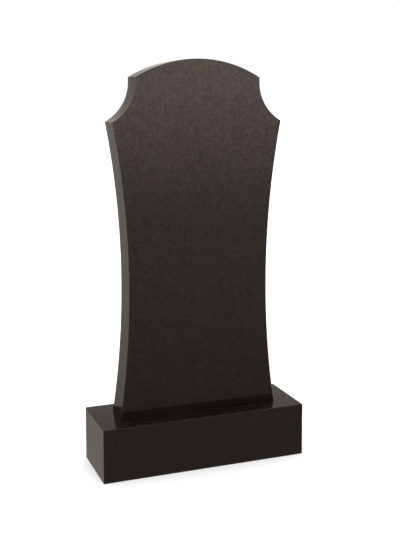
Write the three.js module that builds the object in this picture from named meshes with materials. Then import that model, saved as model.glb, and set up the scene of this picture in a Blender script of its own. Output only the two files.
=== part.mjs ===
// Granite headstone: an upright slab, the stele, standing centred on a plain rectangular plinth.
// Millimetres, +Z up. The origin is on the ground at the middle of the plinth's underside.
// The stele's wide polished face looks towards -Y.
import * as THREE from 'three';

// The stele's outline. Its sides are hollow arcs from the foot up to two pointed shoulders,
// scoops run from the shoulders in to the crown's corners, and the crown is an arch.
const STELE_HEIGHT = 1000;
const STELE_THICKNESS = 80;
const FOOT_WIDTH = 470;
const SHOULDER_WIDTH = 500;
const SCOOP_WIDTH = 67;
const SCOOP_HEIGHT = 122;
const CROWN_RISE = 51;

// Depth of each hollow arc, measured from the straight line between its ends.
const SIDE_HOLLOW = 35.5;
const SCOOP_HOLLOW = 21.5;

// The plinth, stated by its height and by how far it stands out past the stele's foot.
const PLINTH_HEIGHT = 150;
const FACE_LEDGE = 60;
const END_LEDGE = 65;

// The thin bed between the plinth's top and the stele's foot.
const BED_GAP = 0.3;

// Width taken off every sharp edge by the narrow flat that a mason rubs along it.
const ARRIS = 1;

// Straight pieces in each arc of the outline, which keep within 0.1 mm of the true arc.
const ARC_STEPS = 24;

const PLINTH_LENGTH = FOOT_WIDTH + 2 * END_LEDGE;
const PLINTH_DEPTH = STELE_THICKNESS + 2 * FACE_LEDGE;

function polishedGranite() {
  return new THREE.MeshStandardMaterial({ color: 0x2a2522, roughness: 0.12, metalness: 0 });
}

// Points of an arc from start up to, but not at, end. A positive rise swells to the right of
// the way from start to end, which is outwards on an anticlockwise outline, and a negative one
// hollows it.
function arcPoints(start, end, rise) {
  const chord = end.clone().sub(start);
  const middle = start.clone().add(end).divideScalar(2);
  const along = chord.clone().normalize();
  const outward = new THREE.Vector2(along.y, -along.x);
  const halfAngle = 2 * Math.atan2(2 * Math.abs(rise), chord.length());
  const radius = chord.length() / (2 * Math.sin(halfAngle));
  const points = [];
  for (let step = 0; step < ARC_STEPS; step += 1) {
    const angle = halfAngle * (2 * step / ARC_STEPS - 1);
    const forward = radius * Math.sin(angle);
    const swell = Math.sign(rise) * radius * (Math.cos(angle) - Math.cos(halfAngle));
    points.push(middle.clone().addScaledVector(along, forward).addScaledVector(outward, swell));
  }
  return points;
}

// The stele's face, anticlockwise from the right end of its foot, with the foot at height 0.
function steleOutline() {
  const cornerHeight = STELE_HEIGHT - CROWN_RISE;
  const foot = (side) => new THREE.Vector2(side * FOOT_WIDTH / 2, 0);
  const tip = (side) => new THREE.Vector2(side * SHOULDER_WIDTH / 2, cornerHeight - SCOOP_HEIGHT);
  const corner = (side) => new THREE.Vector2(side * (SHOULDER_WIDTH / 2 - SCOOP_WIDTH), cornerHeight);
  return [
    ...arcPoints(foot(1), tip(1), -SIDE_HOLLOW),
    ...arcPoints(tip(1), corner(1), -SCOOP_HOLLOW),
    ...arcPoints(corner(1), corner(-1), CROWN_RISE),
    ...arcPoints(corner(-1), tip(-1), -SCOOP_HOLLOW),
    ...arcPoints(tip(-1), foot(-1), -SIDE_HOLLOW),
    foot(-1),
  ];
}

// The plinth's plan, centred on the origin, with its four upright edges rubbed down.
function plinthPlan() {
  const x = PLINTH_LENGTH / 2;
  const y = PLINTH_DEPTH / 2;
  const corners = [
    [x, ARRIS - y], [x, y - ARRIS],
    [x - ARRIS, y], [ARRIS - x, y],
    [-x, y - ARRIS], [-x, ARRIS - y],
    [ARRIS - x, -y], [x - ARRIS, -y],
  ];
  return corners.map(([cornerX, cornerY]) => new THREE.Vector2(cornerX, cornerY));
}

// A slab of the given outline from height 0 to its full thickness, with an arris round both faces.
function slabGeometry(outline, thickness) {
  const geometry = new THREE.ExtrudeGeometry(new THREE.Shape(outline), {
    depth: thickness - 2 * ARRIS,
    bevelThickness: ARRIS,
    bevelSize: ARRIS,
    bevelOffset: -ARRIS,
    bevelSegments: 1,
  });
  geometry.translate(0, 0, ARRIS);
  return geometry;
}

function makePlinth() {
  const plinth = new THREE.Mesh(slabGeometry(plinthPlan(), PLINTH_HEIGHT), polishedGranite());
  plinth.name = 'plinth';
  return plinth;
}

function makeStele() {
  const stele = new THREE.Mesh(slabGeometry(steleOutline(), STELE_THICKNESS), polishedGranite());
  stele.name = 'stele';
  stele.rotation.x = Math.PI / 2;
  stele.position.set(0, STELE_THICKNESS / 2, PLINTH_HEIGHT + BED_GAP);
  return stele;
}

const headstone = new THREE.Group();
headstone.name = 'headstone';
headstone.add(makePlinth(), makeStele());

export default headstone;
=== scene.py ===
# A polished granite headstone: an upright stele with hollow sides on a plain rectangular plinth.
# Metres, +Z up, the origin on the ground under the plinth's middle, the front towards -Y.
import math

import bpy
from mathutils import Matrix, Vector


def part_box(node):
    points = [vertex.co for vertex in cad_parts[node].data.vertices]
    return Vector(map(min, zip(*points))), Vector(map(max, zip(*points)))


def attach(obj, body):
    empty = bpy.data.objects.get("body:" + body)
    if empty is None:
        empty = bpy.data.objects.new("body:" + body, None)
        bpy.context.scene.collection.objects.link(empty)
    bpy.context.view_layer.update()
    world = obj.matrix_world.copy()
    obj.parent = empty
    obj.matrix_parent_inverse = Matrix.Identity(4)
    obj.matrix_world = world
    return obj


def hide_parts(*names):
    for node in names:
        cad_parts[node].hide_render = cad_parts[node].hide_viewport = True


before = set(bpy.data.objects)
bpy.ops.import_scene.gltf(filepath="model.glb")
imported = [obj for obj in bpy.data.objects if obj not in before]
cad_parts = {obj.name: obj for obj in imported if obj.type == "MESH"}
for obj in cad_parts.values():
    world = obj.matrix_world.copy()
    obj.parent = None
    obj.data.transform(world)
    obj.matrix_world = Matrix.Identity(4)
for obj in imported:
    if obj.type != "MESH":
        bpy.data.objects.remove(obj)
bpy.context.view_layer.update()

MM = 0.001

STELE_LOW, STELE_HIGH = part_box("stele")
PLINTH_LOW, PLINTH_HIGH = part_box("plinth")

# The stele's outline, beside the width, height and thickness that its box gives.
FOOT_WIDTH = 470 * MM
SCOOP_WIDTH = 67 * MM
SCOOP_HEIGHT = 122 * MM
CROWN_RISE = 51 * MM

# Depth of each hollow arc, measured from the straight line between its ends.
SIDE_HOLLOW = 35.5 * MM
SCOOP_HOLLOW = 21.5 * MM

# Length of one straight piece of an arc, short enough that the polish shows no facets.
ARC_STEP = 6 * MM

# Points of the outline closer than this are one point.
SAME_POINT = 0.01 * MM

# Radius that a mason rubs onto every edge steeper than the sharp angle, and the flats that round it off.
ARRIS = 1 * MM
ARRIS_SEGMENTS = 3
SHARP_ANGLE = math.radians(30)

# Edges steeper than this stay crisp, so that the wide polished faces keep flat reflections.
CRISP_ANGLE = math.radians(8)

# A face looks along an axis where its normal reaches this far along it.
LOOKS_ALONG = 0.99

# The camera stands before the left corner, level with the crown's corners. Its lens is shifted down to
# keep the stele's sides upright in the picture, and what the shift leaves is made up by tilting it.
CAMERA_PLACE = Vector((-0.907, -2.425, 1.065))
CAMERA_YAW = math.radians(20.856)
CAMERA_PITCH = math.radians(6.032)
CAMERA_LENS = 61.94
CAMERA_RISE = -0.15

FLOOR_SIZE = 60.0
FLOOR_COLOUR = "#e0e0e0"
WHITE = "#ffffff"


def linear(hex_colour):
    """The linear colour, with alpha, of an sRGB hex value."""
    channels = [int(hex_colour[at:at + 2], 16) / 255 for at in (1, 3, 5)]
    return [c / 12.92 if c <= 0.04045 else ((c + 0.055) / 1.055) ** 2.4 for c in channels] + [1.0]


def add_node(tree, kind, links=None, **settings):
    """Adds a node. Each setting is a property of the node, and links gives inputs a value or a socket."""
    node = tree.nodes.new(kind)
    for name, value in settings.items():
        setattr(node, name, value)
    for name, value in (links or {}).items():
        if isinstance(value, bpy.types.NodeSocket):
            tree.links.new(value, node.inputs[name])
        else:
            node.inputs[name].default_value = value
    return node


def material_named(name):
    """A new material with an empty tree, and its output node."""
    material = bpy.data.materials.new(name)
    material.use_nodes = True
    material.node_tree.nodes.clear()
    output = add_node(material.node_tree, "ShaderNodeOutputMaterial")
    return material, material.node_tree, output


# The crystals of the stone. Real ones are 1 to 2 mm across, which is finer than a pixel of the picture,
# so they are drawn at 3 mm to show as a quiet speckle.
CRYSTAL_SIZE = 3 * MM
DARK_CRYSTAL = "#0f0b09"
PALE_CRYSTAL = "#19130f"

# Crystals gather in clumps, and the clumps in slow clouds. Each darkens and lightens the stone by its
# share, and the paler clumps also mirror more strongly by a share.
CLUMP_SIZE = 9 * MM
CLUMP_SHARE = 0.07
CLOUD_SIZE = 110 * MM
CLOUD_SHARE = 0.07
MIRROR_SHARE = 0.2

# A noise keeps mostly between these values.
NOISE_LOW = 0.3
NOISE_HIGH = 0.7

# A mirror strength of one half is what the stone's IOR gives.
STONE_IOR = 1.54
PLAIN_MIRROR = 0.5

# Roughness of the smoothest and the dullest crystals in each finish.
POLISHED_ROUGHNESS = (0.03, 0.08)
HONED_ROUGHNESS = (0.28, 0.4)
SAWN_ROUGHNESS = (0.75, 0.9)

# How many times paler than polished stone a duller finish is, and the polish's own faint tint.
HONED_LIFT = 3.0
SAWN_LIFT = 8.0
POLISH_TINT = "#fff8f8"

# How far the harder crystals and clumps stand up from the softer ones in each finish.
POLISHED_CRYSTAL_RELIEF = 0.005 * MM
POLISHED_CLUMP_RELIEF = 0.05 * MM
HONED_RELIEF = 0.05 * MM

# Grooves that the saw's blade leaves, and how far they wander. A wave texture of scale 1 has a groove
# every tenth of pi.
SAW_GROOVE = 0.3 * MM
SAW_SPACING = 6 * MM
SAW_WANDER = 1.5
WAVE_SPACING = math.pi / 10


def granite(name, lift, roughness, crystal_relief, clump_relief, groove=0, tint=WHITE):
    """A finish of the stone. Lift is how many times paler it is than when polished, roughness the least
    and the most of its crystals, groove the depth of the saw's marks, and tint the colour of its gloss."""
    material, tree, output = material_named(name)
    place = add_node(tree, "ShaderNodeTexCoord").outputs["Object"]
    crystals = add_node(tree, "ShaderNodeTexVoronoi", {"Vector": place, "Scale": 1 / CRYSTAL_SIZE})
    chance = add_node(tree, "ShaderNodeSeparateColor", {"Color": crystals.outputs["Color"]})
    shades = add_node(tree, "ShaderNodeValToRGB", {"Fac": chance.outputs["Red"]})
    shades.color_ramp.elements[0].color = linear(DARK_CRYSTAL)
    shades.color_ramp.elements[1].color = linear(PALE_CRYSTAL)
    clumps = add_node(tree, "ShaderNodeTexNoise", {"Vector": place, "Scale": 1 / CLUMP_SIZE})
    clouds = add_node(tree, "ShaderNodeTexNoise", {"Vector": place, "Scale": 1 / CLOUD_SIZE})
    colour = shades.outputs["Color"]
    for noise, middle, share in ((clumps, lift, CLUMP_SHARE), (clouds, 1, CLOUD_SHARE)):
        drift = add_node(tree, "ShaderNodeMapRange", {
            "Value": noise.outputs["Fac"], "From Min": NOISE_LOW, "From Max": NOISE_HIGH,
            "To Min": middle * (1 - share), "To Max": middle * (1 + share)})
        mottled = add_node(tree, "ShaderNodeVectorMath", {
            0: colour, "Scale": drift.outputs["Result"]}, operation="SCALE")
        colour = mottled.outputs["Vector"]
    mirror = add_node(tree, "ShaderNodeMapRange", {
        "Value": clumps.outputs["Fac"], "From Min": NOISE_LOW, "From Max": NOISE_HIGH,
        "To Min": PLAIN_MIRROR * (1 - MIRROR_SHARE), "To Max": PLAIN_MIRROR * (1 + MIRROR_SHARE)})
    gloss = add_node(tree, "ShaderNodeMapRange", {
        "Value": chance.outputs["Green"], "To Min": roughness[0], "To Max": roughness[1]})
    shader = add_node(tree, "ShaderNodeBsdfPrincipled", {
        "Base Color": colour, "Roughness": gloss.outputs["Result"], "IOR": STONE_IOR,
        "Specular IOR Level": mirror.outputs["Result"], "Specular Tint": linear(tint)})
    reliefs = [(crystals.outputs["Distance"], crystal_relief), (clumps.outputs["Fac"], clump_relief)]
    if groove:
        marks = add_node(tree, "ShaderNodeTexWave", {
            "Vector": place, "Scale": WAVE_SPACING / SAW_SPACING, "Distortion": SAW_WANDER})
        reliefs.append((marks.outputs["Fac"], groove))
    normal = shader.inputs["Normal"]
    for height, relief in reliefs:
        bump = add_node(tree, "ShaderNodeBump", {"Height": height, "Distance": relief})
        tree.links.new(bump.outputs["Normal"], normal)
        normal = bump.inputs["Normal"]
    tree.links.new(shader.outputs["BSDF"], output.inputs["Surface"])
    return material


def polished_granite():
    """Gabbro, the fine dark stone sold as black granite, ground and polished to a mirror: nearly black in
    itself, so that the eye sees the light around it, softly mottled by clumps that mirror it unevenly."""
    return granite("polished_granite", 1, POLISHED_ROUGHNESS,
                   POLISHED_CRYSTAL_RELIEF, POLISHED_CLUMP_RELIEF, tint=POLISH_TINT)


def honed_granite():
    """The same stone on the unseen back, ground smooth but not polished: greyer, with a soft sheen."""
    return granite("honed_granite", HONED_LIFT, HONED_ROUGHNESS, HONED_RELIEF, HONED_RELIEF)


def sawn_granite():
    """The same stone as the saw leaves it, on the undersides: dull, pale grey and grooved by the blade."""
    return granite("sawn_granite", SAWN_LIFT, SAWN_ROUGHNESS,
                   HONED_RELIEF, HONED_RELIEF, groove=SAW_GROOVE)


def start_mesh(name):
    """Puts a plane in the scene under that name and opens it with nothing selected but the plane."""
    bpy.ops.object.select_all(action="DESELECT")
    bpy.ops.mesh.primitive_plane_add(size=1)
    bpy.context.object.name = name
    bpy.ops.object.mode_set(mode="EDIT")
    return bpy.context.object


def spin_arc(start, end, rise):
    """Draws an arc from the selected vertex, at start, to end. A positive rise swells to the right
    of the way as seen from the front, and a negative one hollows. With no window, spin turns
    clockwise about its axis, so the axis points away from the front."""
    chord = end - start
    half = chord.length / 2
    radius = (half ** 2 + rise ** 2) / (2 * abs(rise))
    outward = Vector((chord.z, 0, -chord.x)).normalized()
    centre = (start + end) / 2 - outward * math.copysign(radius - abs(rise), rise)
    angle = 2 * math.asin(half / radius)
    steps = math.ceil(radius * angle / ARC_STEP / 2) * 2
    bpy.ops.mesh.spin(steps=steps, angle=math.copysign(angle, rise), center=centre, axis=(0, 1, 0))


def stele_corners(side):
    """The foot, shoulder tip and crown corner: on the right for side 1, on the left for side -1."""
    front = STELE_LOW.y
    corner_z = STELE_HIGH.z - CROWN_RISE
    foot = Vector((side * FOOT_WIDTH / 2, front, STELE_LOW.z))
    tip = Vector((side * STELE_HIGH.x, front, corner_z - SCOOP_HEIGHT))
    corner = Vector((side * (STELE_HIGH.x - SCOOP_WIDTH), front, corner_z))
    return foot, tip, corner


def ease_edges(piece):
    """Rounds every sharp edge of a piece to the arris."""
    bevel = piece.modifiers.new("arris", "BEVEL")
    bevel.width = ARRIS
    bevel.segments = ARRIS_SEGMENTS
    bevel.limit_method = "ANGLE"
    bevel.angle_limit = SHARP_ANGLE
    bpy.ops.object.modifier_apply(modifier=bevel.name)
    bpy.ops.object.shade_smooth_by_angle(angle=CRISP_ANGLE)


def finish_faces(piece):
    """Polishes the front, sides and top, hones the back and leaves the underside as sawn."""
    for make in (polished_granite, honed_granite, sawn_granite):
        name = make.__name__
        piece.data.materials.append(bpy.data.materials.get(name) or make())
    for face in piece.data.polygons:
        if face.normal.y > LOOKS_ALONG:
            face.material_index = 1
        elif face.normal.z < -LOOKS_ALONG:
            face.material_index = 2


def make_stele():
    """Traces the outline by its five arcs, fills it, draws it out to the slab's thickness and eases
    its edges."""
    stele = start_mesh("stele_slab")
    foot, tip, corner = stele_corners(1)
    left_foot, left_tip, left_corner = stele_corners(-1)
    bpy.ops.mesh.merge(type="CENTER")
    bpy.ops.transform.translate(value=foot)
    spin_arc(foot, tip, -SIDE_HOLLOW)
    spin_arc(tip, corner, -SCOOP_HOLLOW)
    spin_arc(corner, left_corner, CROWN_RISE)
    spin_arc(left_corner, left_tip, -SCOOP_HOLLOW)
    spin_arc(left_tip, left_foot, -SIDE_HOLLOW)
    bpy.ops.mesh.select_all(action="SELECT")
    bpy.ops.mesh.remove_doubles(threshold=SAME_POINT)
    bpy.ops.mesh.edge_face_add()
    thickness = STELE_HIGH.y - STELE_LOW.y
    bpy.ops.mesh.extrude_region_move(TRANSFORM_OT_translate={"value": (0, thickness, 0)})
    bpy.ops.mesh.select_all(action="SELECT")
    bpy.ops.mesh.normals_make_consistent(inside=False)
    bpy.ops.object.mode_set(mode="OBJECT")
    ease_edges(stele)
    finish_faces(stele)
    return stele


def make_plinth():
    """Draws a block up from its plan to its full height and eases its edges."""
    plinth = start_mesh("plinth_block")
    size = PLINTH_HIGH - PLINTH_LOW
    bpy.ops.transform.resize(value=(size.x, size.y, 1))
    bpy.ops.transform.translate(value=(0, 0, PLINTH_LOW.z))
    bpy.ops.mesh.extrude_region_move(TRANSFORM_OT_translate={"value": (0, 0, size.z)})
    bpy.ops.mesh.select_all(action="SELECT")
    bpy.ops.mesh.normals_make_consistent(inside=False)
    bpy.ops.object.mode_set(mode="OBJECT")
    ease_edges(plinth)
    finish_faces(plinth)
    return plinth


def make_floor():
    """A plain white sheet underfoot, left out of what the polish mirrors and of the light on the stone."""
    bpy.ops.object.select_all(action="DESELECT")
    bpy.ops.mesh.primitive_plane_add(size=FLOOR_SIZE)
    floor = bpy.context.object
    floor.name = "floor"
    floor.visible_diffuse = False
    floor.visible_glossy = False
    material, tree, output = material_named("white_floor")
    shader = add_node(tree, "ShaderNodeBsdfDiffuse", {"Color": linear(FLOOR_COLOUR)})
    tree.links.new(shader.outputs["BSDF"], output.inputs["Surface"])
    floor.data.materials.append(material)


# The studio that the polish mirrors: an even grey, and soft lamps round the stone. A lamp is brightest
# towards its middle and ends at its reach, each given along X, Y and Z of the direction, or it runs on.
RUNS_ON = math.inf
STUDIO_GREY = 0.106
STUDIO_LAMPS = {
    "band in front": {"peak": 1.39, "middle": (0, -1, 0.093), "reach": (RUNS_ON, 1.5, 0.25)},
    "glow round the band": {"peak": 0.5, "middle": (0, -1, 0), "reach": (RUNS_ON, 1.5, 0.5)},
    "wall behind": {"peak": 0.97, "middle": (0.34, 1, -0.01), "reach": (0.8, 1.5, 0.53)},
    "lamp behind": {"peak": 1.56, "middle": (-0.03, 1, 0.05), "reach": (0.31, 1.5, 0.29)},
    "low card behind": {"peak": 0.41, "middle": (-0.27, 1, -0.59), "reach": (0.26, 1.5, 0.89)},
    "lamp on the right": {"peak": 2.0, "middle": (1, 0.3, -0.2), "reach": (0.9, 0.9, 0.6)},
    "lamp on the left": {"peak": 2.0, "middle": (-1, 0.3, -0.2), "reach": (0.85, 0.9, 0.6)},
    "lamp high behind": {"peak": 1.0, "middle": (0, 0.6, 0.8), "reach": (1, 0.7, 0.5)},
    "floor in front": {"peak": 1.5, "middle": (0, -0.6, -1), "reach": (RUNS_ON, 1.5, 0.7)},
}

# Studio light is a little warm in the stone.
MIRRORED_TINT = "#fff3e8"

# The even light that falls on the stone and floor, and how many times stronger it is straight above.
FILL_LIGHT = 1.1
OVERHEAD_LIGHT = 2.8
OVERHEAD_FROM = 0.4


def mirrored_studio(tree, direction):
    """Brightness of the studio in each direction, as the polish mirrors it."""
    brightness = STUDIO_GREY
    for lamp in STUDIO_LAMPS.values():
        scale = [1 / reach for reach in lamp["reach"]]
        shift = [-middle * size for middle, size in zip(lamp["middle"], scale)]
        placed = add_node(tree, "ShaderNodeMapping", {
            "Vector": direction, "Location": shift, "Scale": scale})
        distance = add_node(tree, "ShaderNodeVectorMath", {
            0: placed.outputs["Vector"]}, operation="LENGTH")
        glow = add_node(tree, "ShaderNodeMapRange", {
            "Value": distance.outputs["Value"], "From Min": 1.0, "From Max": 0.0,
            "To Max": lamp["peak"]}, interpolation_type="SMOOTHSTEP")
        lit_so_far = add_node(tree, "ShaderNodeMath", {0: brightness, 1: glow.outputs["Result"]})
        brightness = lit_so_far.outputs["Value"]
    return brightness


def light_studio():
    """A white studio. Its even light falls from all round and more from above, its lamps show only in
    the polish, and the camera sees plain white behind the stone."""
    world = bpy.data.worlds.new("studio")
    bpy.context.scene.world = world
    world.use_nodes = True
    world.cycles.sampling_method = "NONE"
    tree = world.node_tree
    tree.nodes.clear()
    direction = add_node(tree, "ShaderNodeTexCoord").outputs["Generated"]
    height = add_node(tree, "ShaderNodeSeparateXYZ", {"Vector": direction})
    overhead = add_node(tree, "ShaderNodeMapRange", {
        "Value": height.outputs["Z"], "From Min": OVERHEAD_FROM,
        "To Min": FILL_LIGHT, "To Max": FILL_LIGHT * OVERHEAD_LIGHT})
    in_polish = add_node(tree, "ShaderNodeBackground", {
        "Color": linear(MIRRORED_TINT), "Strength": mirrored_studio(tree, direction)})
    on_stone = add_node(tree, "ShaderNodeBackground", {
        "Color": linear(WHITE), "Strength": overhead.outputs["Result"]})
    behind = add_node(tree, "ShaderNodeBackground", {"Color": linear(WHITE), "Strength": 1.0})
    path = add_node(tree, "ShaderNodeLightPath")
    lit = add_node(tree, "ShaderNodeMixShader", {
        0: path.outputs["Is Diffuse Ray"], 1: in_polish.outputs[0], 2: on_stone.outputs[0]})
    seen = add_node(tree, "ShaderNodeMixShader", {
        0: path.outputs["Is Camera Ray"], 1: lit.outputs[0], 2: behind.outputs[0]})
    add_node(tree, "ShaderNodeOutputWorld", {"Surface": seen.outputs[0]})


def place_camera():
    """Stands the camera at the picture's viewpoint, level from side to side."""
    camera = bpy.data.objects.new("camera", bpy.data.cameras.new("camera"))
    bpy.context.scene.collection.objects.link(camera)
    camera.location = CAMERA_PLACE
    camera.rotation_euler = (math.pi / 2 - CAMERA_PITCH, 0, -CAMERA_YAW)
    camera.data.lens = CAMERA_LENS
    camera.data.shift_y = CAMERA_RISE
    bpy.context.scene.camera = camera


place_camera()
bpy.context.scene.view_settings.view_transform = "Standard"
light_studio()
make_floor()
for make, node in ((make_stele, "stele"), (make_plinth, "plinth")):
    piece = make()
    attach(piece, "root")
    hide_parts(node)
